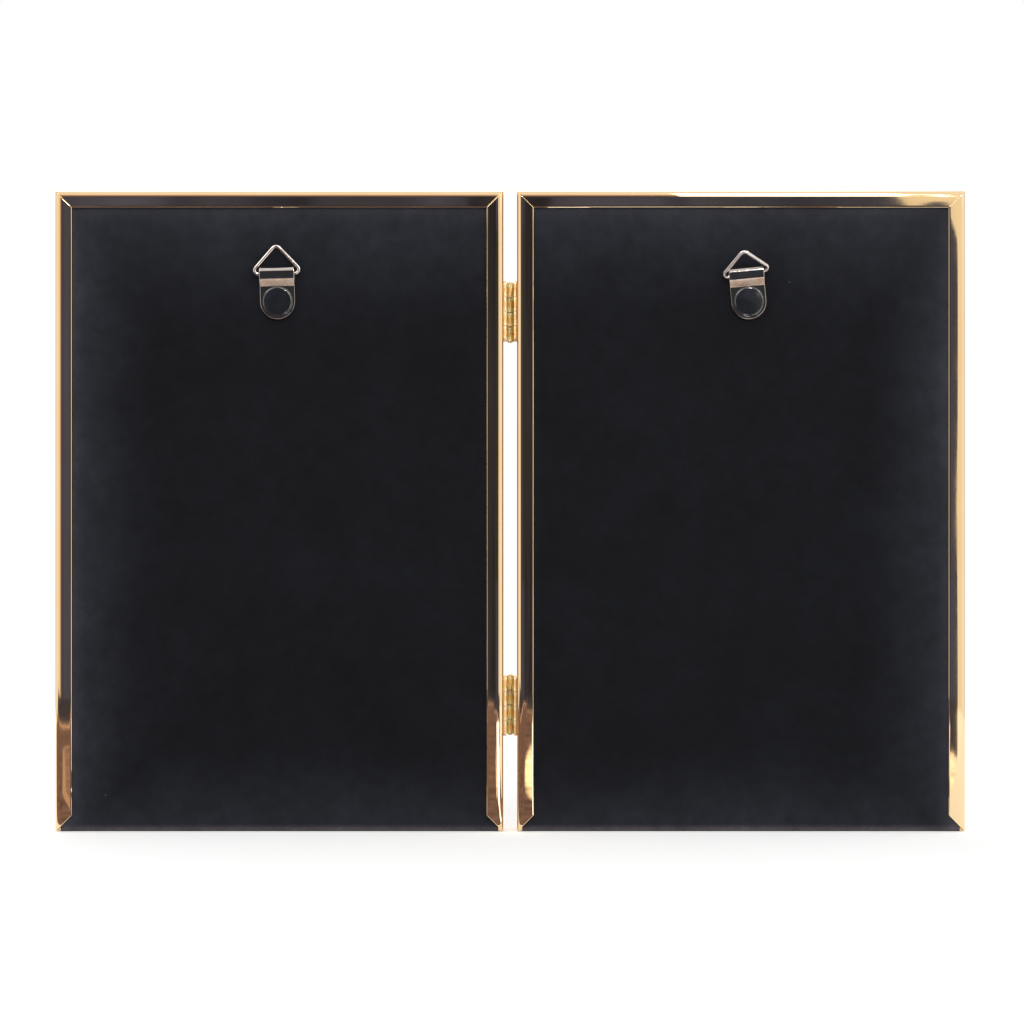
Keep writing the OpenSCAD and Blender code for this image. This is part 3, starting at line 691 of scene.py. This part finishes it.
def foldedStrap(side):
    # A flat blank with round ends, cut across often enough to be folded along the line
    h, r = hanger, hanger["edgeRound"]
    line = [Vector(point) for point in strapLine()]
    runs = [0.0]
    for first, second in zip(line, line[1:]):
        runs.append(runs[-1] + (second - first).length)
    half, length = h["strapWide"] / 2, runs[-1]
    steps = hangerSteps["strapEnd"]
    outline = arc((0, length - half), half, 0, 180, steps) + arc((0, half), half, 180, 360, steps)
    bm = bmesh.new()
    layers = [(r * (1 - math.sin(a)), r * (1 - math.cos(a))) for a in (0, math.pi / 4, math.pi / 2)]
    heights = layers + [(drawn, h["strapThick"] - up) for drawn, up in reversed(layers)]
    rings = [[bm.verts.new((x, s, up)) for x, s in inset(outline, drawn)] for drawn, up in heights]
    for first, second in zip(rings, rings[1:]):
        bandBetween(bm, first, second)
    bm.faces.new(rings[0])
    bm.faces.new(rings[-1])
    for run in runs[1:-1]:
        everything = bm.verts[:] + bm.edges[:] + bm.faces[:]
        bmesh.ops.bisect_plane(bm, geom=everything, dist=cuts["snap"],
                               plane_co=(0, run, 0), plane_no=(0, 1, 0))
    place = hangerFrame(side)
    for vert in bm.verts:
        x, s, up = vert.co
        k = max(i for i in range(len(runs) - 1) if runs[i] <= s + cuts["past"] or i == 0)
        along = (line[k + 1] - line[k]).normalized()
        point = line[k] + along * (s - runs[k])
        out = Vector((-along.y, along.x))
        if 0 < k and abs(s - runs[k]) < cuts["on"]:  # so between two stretches
            earlier = (line[k] - line[k - 1]).normalized()
            middle = (earlier + along).normalized()
            out = Vector((-middle.y, middle.x)) / middle.dot(along)
        point += out * (up - h["strapThick"] / 2)
        vert.co = place @ Vector((x, point.x, point.y))
    node = f"{side}_hanger_strap"
    return finishPiece(f"{side}HangerStrap", bm, f"{side}_back", "dark_nickel", [node], sharp=40)


def domedRivet(side):
    # Turned profile (radius, height) from the middle of the head to the flared tail
    h = hanger
    stack = 2 * h["strapThick"] + h["layerGap"]
    rim, top = h["headWide"] / 2, stack + h["headHigh"]
    shares = [k / h["crownSteps"] for k in range(h["crownSteps"] + 1)]
    profile = [(h["crownOut"] * share, top - h["crownDrop"] * share ** 2) for share in shares]
    profile += arc((h["crownOut"], top - h["crownDrop"] - h["shoulder"]), h["shoulder"],
                   h["shoulderFrom"], h["shoulderTo"], hangerSteps["shoulder"])
    profile += [(rim + out, stack + up) for out, up in h["skirt"]]
    low = (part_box(f"{side}_hanger_rivet")[0].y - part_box(f"{side}_velvet_cover")[1].y) / mm
    shank, tail = h["shankWide"] / 2, h["tailWide"] / 2
    profile += [(shank, stack), (shank, low + h["tailSide"][0][1])]
    profile += [(tail + out, low + up) for out, up in h["tailSide"]]
    profile += [(shank + out, low + up) for out, up in h["tailHollow"]] + [(0, low + h["hollowDeep"])]
    bm = bmesh.new()
    steps = hangerSteps["turned"]
    rings = []
    for radius, up in profile:
        if radius == 0:
            rings.append([bm.verts.new((0, up, 0))])
            continue
        angles = [2 * math.pi * k / steps for k in range(steps)]
        rings.append([bm.verts.new((radius * math.cos(a), up, radius * math.sin(a))) for a in angles])
    for first, second in zip(rings, rings[1:]):
        if len(first) == len(second):
            bandBetween(bm, first, second)
            continue
        point, loop = (first[0], second) if len(first) == 1 else (second[0], first)
        for k in range(steps):
            bm.faces.new((point, loop[k], loop[(k + 1) % steps]))
    bmesh.ops.transform(bm, matrix=hangerFrame(side), verts=bm.verts)
    node = f"{side}_hanger_rivet"
    return finishPiece(f"{side}HangerRivet", bm, f"{side}_back", "black_rivet", [node], sharp=50)


def wireRing(side):
    # Round wire along a loop of two corners and a top, with its bar through the fold
    h, (_, skew, tip) = hanger, hangerTurn[side]
    corner, top = h["cornerRound"], h["topRound"]
    cornerX = h["ringWide"] / 2 - h["wireRound"] - corner
    topZ = h["ringReach"] - h["wireRound"] - top
    rise = topZ - corner
    run = math.hypot(cornerX, rise)
    normal = math.degrees(math.atan2(rise, -cornerX) - math.acos((corner - top) / run))
    bends = [((cornerX, corner), corner, -90, normal), ((0, topZ), top, normal, 180 - normal),
             ((-cornerX, corner), corner, 180 - normal, 270)]
    stations = []
    steps = hangerSteps["ringBend"]
    for centre, radius, start, end in bends:
        stations += [(centre, radius, start + (end - start) * k / steps) for k in range(steps + 1)]
    place = (hangerFrame(side) @ Matrix.Translation((0, h["barOut"], h["strapReach"] - h["barDrop"]))
             @ Matrix.Rotation(math.radians(skew), 4, "Y") @ Matrix.Rotation(math.radians(-tip), 4, "X"))
    bm = bmesh.new()
    sides = hangerSteps["wire"]
    rings = []
    for centre, radius, angle in stations:
        a = math.radians(angle)
        loop = []
        for k in range(sides):
            turn = 2 * math.pi * k / sides
            out, aside = radius + h["wireRound"] * math.cos(turn), h["wireRound"] * math.sin(turn)
            point = Vector((centre[0] + out * math.cos(a), aside, centre[1] + out * math.sin(a)))
            loop.append(bm.verts.new(place @ point))
        rings.append(loop)
    for first, second in zip(rings, rings[1:] + rings[:1]):
        bandBetween(bm, first, second)
    node = f"{side}_hanger_ring"
    return finishPiece(f"{side}HangerRing", bm, f"{side}_ring", "bright_nickel", [node], sharp=60)


for side in sideSign:
    foldedStrap(side)
    domedRivet(side)
    wireRing(side)
print("hangers ready")


# Hinges: the CAD shapes with their edges eased, as stamped and rolled brass has them

easing = {"leaf": 0.16, "pin": 0.08, "weld": 0.002, "flat": 1, "crisp": 40}  # millimetres and degrees


def easedCopy(name, node, body, slot, ease):
    bm = bmesh.new()
    bm.from_mesh(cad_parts[node].data)
    bmesh.ops.remove_doubles(bm, verts=bm.verts, dist=easing["weld"] * mm)
    bmesh.ops.dissolve_limit(bm, angle_limit=math.radians(easing["flat"]), verts=bm.verts, edges=bm.edges)
    least = math.radians(easing["crisp"])
    crisp = [edge for edge in bm.edges if edge.is_manifold and edge.calc_face_angle() > least]
    bmesh.ops.bevel(bm, geom=crisp, offset=ease * mm, segments=2, profile=0.5, affect="EDGES",
                    clamp_overlap=True)
    return finishPiece(name, bm, body, slot, [node], sharp=30)


for place in ("upper", "lower"):
    for side in sideSign:
        easedCopy(f"{place}Hinge{side.capitalize()}Leaf", f"{place}_hinge_{side}_leaf", f"{side}_panel",
                  "hinge_brass", easing["leaf"])
    easedCopy(f"{place}HingePin", f"{place}_hinge_pin", "right_panel", "hinge_brass", easing["pin"])
print("hinges ready")


# Studio: pale floor, white surroundings, soft lamps, and cards that show only in reflections

studio = {
    "surroundings": 0.55,                 # how much light they give
    "floorRound": 0.66, "floorColour": (0.80, 0.80, 0.80, 1), "floorGlow": 0.40,
    "floorMottle": 40, "floorShade": 0.985,
    "lamps": [
        {"name": "keyLamp", "at": (0.75, 1.05, 1.15), "wide": 0.9, "power": 5.5},
        {"name": "fillLamp", "at": (-1.1, 0.9, 0.7), "wide": 0.9, "power": 3.0},
        {"name": "frontLamp", "at": (0.2, -1.3, 0.9), "wide": 1.0, "power": 6.0},
        # small and almost straight behind the camera, it reaches the hinges between the rails
        {"name": "glintLamp", "at": (-0.20, 1.35, 0.75), "wide": 0.12, "power": 4.6},
    ],
    "aim": (0, 0, 0.08),                  # where the lamps point
}


def whiteForEye(tree):
    # 1 for the rays that see the background: straight, in a reflection, or through glass
    rays = addNode(tree, "LightPath")
    both = mathOf(tree, "MAXIMUM", rays.outputs["Is Camera Ray"], rays.outputs["Is Glossy Ray"])
    return mathOf(tree, "MAXIMUM", both, rays.outputs["Is Transmission Ray"])


def paleSurroundings():
    world = bpy.data.worlds.new("paleSurroundings")
    scene.world = world
    world.use_nodes = True
    tree = world.node_tree
    back = tree.nodes["Background"]
    back.inputs["Color"].default_value = (1, 1, 1, 1)
    tree.links.new(rangeOf(tree, whiteForEye(tree), studio["surroundings"], 1.0), back.inputs["Strength"])


def paleFloor():
    bm = bmesh.new()
    bmesh.ops.create_circle(bm, cap_ends=True, segments=128, radius=studio["floorRound"])
    floor = objectFrom("paleFloor", bm)
    material, tree, shader, place = newMaterial(
        "paleFloor", Roughness=0.9, Specular_IOR_Level=0.0, Emission_Color=(1, 1, 1, 1))
    mottle = rangeOf(tree, noiseAt(tree, place, studio["floorMottle"], 3), studio["floorShade"], 1.0)
    colour = blendColours(tree, 1.0, studio["floorColour"], mottle, "MULTIPLY")
    glow = rangeOf(tree, whiteForEye(tree), 0, studio["floorGlow"])
    joinTo(tree, shader, Base_Color=colour, Emission_Strength=glow)
    floor.data.materials.append(material)


def softLamp(name, at, wide, power):
    data = bpy.data.lights.new(name, "AREA")
    data.shape = "DISK"
    data.size = wide
    data.energy = power
    lamp = bpy.data.objects.new(name, data)
    scene.collection.objects.link(lamp)
    lamp.location = at
    lamp.rotation_euler = (Vector(studio["aim"]) - Vector(at)).to_track_quat("-Z", "Y").to_euler()
    lamp.visible_camera = False


streaks = {"least": 0.55, "most": 1.7, "stretch": (1, 1, 0.08)}  # how far the glow of a streaked card varies


def mirrorCard(name, corners, glow, streak=None, fade=None, into=(1, 1, 1, 1), reach=(1, 1, 1)):
    # Flat card that shows only in reflections; glow is the light that it gives
    # fade is (centre, start, end): over these distances from the centre it turns into another tone
    # reach gives the length of one such unit along x, y and z
    bm = bmesh.new()
    bm.faces.new([bm.verts.new(corner) for corner in corners])
    card = objectFrom(name, bm)
    for ray in ("camera", "diffuse", "transmission", "volume_scatter", "shadow"):
        setattr(card, "visible_" + ray, False)
    material, tree, shader, place = newMaterial(
        name, Roughness=1.0, Specular_IOR_Level=0.0, Base_Color=(0, 0, 0, 1), Emission_Color=glow,
        Emission_Strength=1)
    if streak:
        bands = noiseAt(tree, place, streak, 3, 0.6, stretch=streaks["stretch"])
        bands = rangeOf(tree, bands, streaks["least"], streaks["most"], *noiseSpan)
        joinTo(tree, shader, Emission_Strength=bands)
    if fade:
        centre, start, end = fade
        away = addNode(tree, "VectorMath", {0: place, 1: centre}, operation="SUBTRACT").outputs[0]
        away = addNode(tree, "VectorMath", {0: away, 1: reach}, operation="DIVIDE").outputs[0]
        away = addNode(tree, "VectorMath", {0: away}, operation="LENGTH").outputs["Value"]
        turned = rangeOf(tree, away, 0, 1, start, end)
        joinTo(tree, shader, Emission_Color=blendColours(tree, turned, glow, into))
    card.data.materials.append(material)
    return tree, shader, place


room = {  # the unlit room behind the camera, which grows lighter to the sides and upwards
    "away": 1.6, "sides": (-1.6, 1.6), "heights": (-0.6, 1.7), "streak": 14,
    "dark": (-0.80, 0.42, 0.52),        # where its dark part ends: left, right, top
    "fades": (0.10, 1.15, 1.15),        # and over what width it turns white
    "darkGlow": (0.050, 0.057, 0.104, 1),
    "steps": [(0.0, (0.10, 0.085, 0.10, 1)), (0.07, (0.20, 0.125, 0.105, 1)), (0.14, (0.50, 0.34, 0.28, 1)),
              (0.22, (0.92, 0.82, 0.76, 1)), (1.0, (1, 1, 1, 1))],
}


def darkRoom():
    r = room
    (left, right), (low, high), away = r["sides"], r["heights"], r["away"]
    corners = [(left, away, low), (right, away, low), (right, away, high), (left, away, high)]
    tree, shader, place = mirrorCard("roomCard", corners, r["darkGlow"], r["streak"])
    at = axesOf(tree, place)
    dark, fades = r["dark"], r["fades"]
    spans = [("X", dark[0], dark[0] - fades[0]), ("X", dark[1], dark[1] + fades[1]),
             ("Z", dark[2], dark[2] + fades[2])]
    far = 0.0
    for axis, start, end in spans:
        far = mathOf(tree, "MAXIMUM", far, rangeOf(tree, at[axis], 0, 1, start, end))
    ramp = addNode(tree, "ValToRGB", {0: far})
    stops = ramp.color_ramp.elements
    while len(stops) < len(r["steps"]):
        stops.new(1.0)  # it gets its own place below
    for stop, (position, tone) in zip(stops, r["steps"]):
        stop.position = position
        stop.color = tone
    lit = mathOf(tree, "GREATER_THAN", far, 0.0)
    glow = blendColours(tree, lit, r["darkGlow"], ramp.outputs[0])
    bands = shader.inputs["Emission Strength"].links[0].from_socket
    even = addNode(tree, "Mix", {0: lit, 2: bands, 3: 1.0}).outputs[0]  # only the dark part is streaked
    joinTo(tree, shader, Emission_Color=glow, Emission_Strength=even)


def standing(away, *points):
    # Corners of a card that stands behind the camera, from their x and z
    return [(x, away, z) for x, z in points]


def lying(up, *points):
    # Corners of a card that lies on the table, from their x and y
    return [(x, y, up) for x, y in points]


tableTone = (0.17, 0.115, 0.115, 1)
cards = [
    {"name": "windowCard", "glow": (2.6, 2.6, 2.6, 1),     # a window, above and right of the camera
     "corners": standing(1.58, (-0.275, 0.55), (-0.114, 0.55), (-0.114, 0.90), (-0.275, 0.90))},
    {"name": "highWindow", "glow": (6.0, 5.8, 5.2, 1),     # and a brighter one over it, in the sloping roof
     "corners": [(-0.275, 1.50, 0.90), (-0.114, 1.50, 0.90), (-0.114, 1.25, 1.50), (-0.275, 1.25, 1.50)]},
    {"name": "cornerGlint", "glow": (5, 5, 5, 1),          # a narrow lamp, seen in one upper corner
     "corners": standing(1.58, (-0.304, 0.50), (-0.297, 0.50), (-0.297, 1.0), (-0.304, 1.0))},
    {"name": "wallCard", "glow": (0.95, 0.88, 0.76, 1),    # a lit wall beside the camera
     "corners": standing(1.59, (-0.85, -0.6), (-0.330, -0.6), (-0.331, -0.05), (-0.326, 0.08),
                         (-0.334, 0.20), (-0.330, 0.262), (-0.327, 0.2735), (-0.319, 0.279),
                         (-0.313, 0.283), (-0.299, 0.291), (-0.300, 0.310), (-0.292, 0.314),
                         (-0.284, 0.308), (-0.281, 0.293), (-0.275, 0.291), (-0.271, 0.302),
                         (-0.266, 0.33), (-0.268, 0.50), (-0.27, 1.7), (-0.85, 1.7))},
    {"name": "rightPicture", "glow": (0.040, 0.045, 0.049, 1),   # two pictures on the far wall
     "corners": standing(1.585, (0.03, 0.04), (0.28, 0.04), (0.28, 0.275), (0.03, 0.275))},
    {"name": "leftPicture", "glow": (0.040, 0.045, 0.049, 1),
     "corners": standing(1.585, (-0.28, 0.04), (-0.03, 0.04), (-0.03, 0.275), (-0.28, 0.275))},
    {"name": "doorway", "glow": (0.027, 0.029, 0.046, 1), "streak": 60,   # a dark one between them
     "corners": standing(1.584, (-0.029, -0.4), (0.029, -0.4), (0.029, 0.42), (-0.029, 0.42))},
    {"name": "skyCard", "glow": (0.96, 0.95, 0.94, 1),     # the pale ceiling
     "corners": lying(1.3, (-0.6, 0.15), (0.6, 0.15), (0.6, 0.75), (-0.6, 0.75))},
    {"name": "glintCard", "glow": (7, 7, 7, 1),            # a small bright lamp high up on the right
     "corners": [(-0.95, 0.25, 0.75), (-0.75, 0.45, 0.75), (-0.62, 0.40, 0.98), (-0.82, 0.20, 0.98)]},
    {"name": "farTable", "glow": (0.056, 0.056, 0.085, 1),
     "corners": lying(0.0004, (0.6, 0.30), (0.6, 0.72), (-0.213, 0.72), (-0.157, 0.30))},
    {"name": "tableEdge", "glow": (1.25, 0.88, 0.70, 1),
     "corners": lying(0.0006, (0.6, 0.47), (0.175, 0.482), (0.055, 0.669), (0.0, 0.66), (0.0, 0.592),
                      (-0.05, 0.592), (-0.13, 0.47), (-0.12, 0.36), (0.6, 0.36))},
    {"name": "tableCard", "glow": tableTone, "streak": 40,
     "corners": lying(0.0008, (0.6, 0.016), (0.6, 0.455), (0.168, 0.462), (0.05, 0.655), (0.0, 0.648),
                      (0.0, 0.58), (-0.045, 0.58), (-0.12, 0.455), (-0.10, 0.016))},
    {"name": "paperCard", "glow": (2.2, 2.3, 2.6, 1),      # white papers that lie on the table
     "corners": lying(0.001, (-0.0115, 0.016), (-0.032, 0.50), (-0.115, 0.50), (-0.024, 0.016))},
    {"name": "letterCard", "glow": (1.35, 1.18, 1.02, 1), "streak": 60,
     "corners": lying(0.001, (-0.115, 0.13), (-0.115, 0.317), (-0.156, 0.317), (-0.145, 0.22),
                      (-0.134, 0.15), (-0.130, 0.13))},
    {"name": "noteCard", "glow": (1.7, 1.42, 1.12, 1), "streak": 60, "into": tableTone,
     "fade": ((-0.0080, 0.225, 0.0012), 0.68, 0.96), "reach": (0.0080, 0.145, 1),  # a soft pool of light
     "corners": lying(0.0012, (0.0, 0.07), (0.0, 0.38), (-0.0100, 0.38), (-0.0100, 0.07))},
    {"name": "trayRim", "glow": (0.55, 0.36, 0.27, 1),     # a tray at the left of the table
     "corners": lying(0.0010, (0.150, 0.352), (0.1605, 0.340), (0.1600, 0.31), (0.1570, 0.291),
                      (0.1442, 0.194), (0.1358, 0.131), (0.1300, 0.100), (0.1235, 0.067), (0.119, 0.067))},
    {"name": "tray", "glow": (0.28, 0.20, 0.19, 1), "streak": 60,
     "corners": lying(0.0012, (0.148, 0.338), (0.1580, 0.326), (0.1568, 0.304), (0.1540, 0.287),
                      (0.1416, 0.194), (0.1334, 0.131), (0.1283, 0.104), (0.1225, 0.075), (0.118, 0.075))},
]

softDarks = {  # dim places in the white surroundings, so that flat metal shows a gradient from every side
    "away": 1.6, "reach": 0.75, "start": 0.08, "bluer": 1.1,
    "places": [  # azimuth in degrees, height and glow
        (2, -0.10, 0.16), (48, 0.15, 0.42), (-48, 0.15, 0.42),
    ],
}


def softDark(azimuth, height, glow):
    s = softDarks
    turn = math.radians(azimuth)
    along, up = Vector((math.cos(turn), math.sin(turn), 0)), Vector((0, 0, 1))
    middle = Vector((math.sin(turn), -math.cos(turn), 0)) * s["away"] + up * height
    corners = [middle + (along * i + up * k) * s["reach"] for i, k in ((-1, -1), (1, -1), (1, 1), (-1, 1))]
    side = "Left" if azimuth < 0 else "Right"
    mirrorCard(f"softDark{side}{abs(azimuth)}", corners, (glow, glow, glow * s["bluer"], 1),
               fade=(middle, s["start"], s["reach"]))


paleSurroundings()
paleFloor()
for lamp in studio["lamps"]:
    softLamp(**lamp)
darkRoom()
for card in cards:
    mirrorCard(**card)
for azimuth, height, glow in softDarks["places"]:
    softDark(azimuth, height, glow)
print("studio ready")


# Camera: square to the backs, as far away as a lens for such pictures stands

eye = {  # millimetres: seen is the width in view at the backs, clips how near and how far it sees
    "side": -0.47, "height": 84.3, "away": 1000, "seen": 269.7, "sensor": 36, "clips": (10, 50000),
}


def aimCamera():
    data = bpy.data.cameras.new("backCamera")
    camera = bpy.data.objects.new("backCamera", data)
    scene.collection.objects.link(camera)
    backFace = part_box("right_hinge_rail")[1].y
    camera.location = (eye["side"] * mm, backFace + eye["away"] * mm, eye["height"] * mm)
    camera.rotation_euler = (math.radians(90), 0, math.radians(180))
    data.sensor_width = eye["sensor"]
    data.lens = eye["sensor"] * eye["away"] / eye["seen"]
    data.clip_start, data.clip_end = [clip * mm for clip in eye["clips"]]
    scene.camera = camera


aimCamera()
scene.view_settings.view_transform = "Standard"
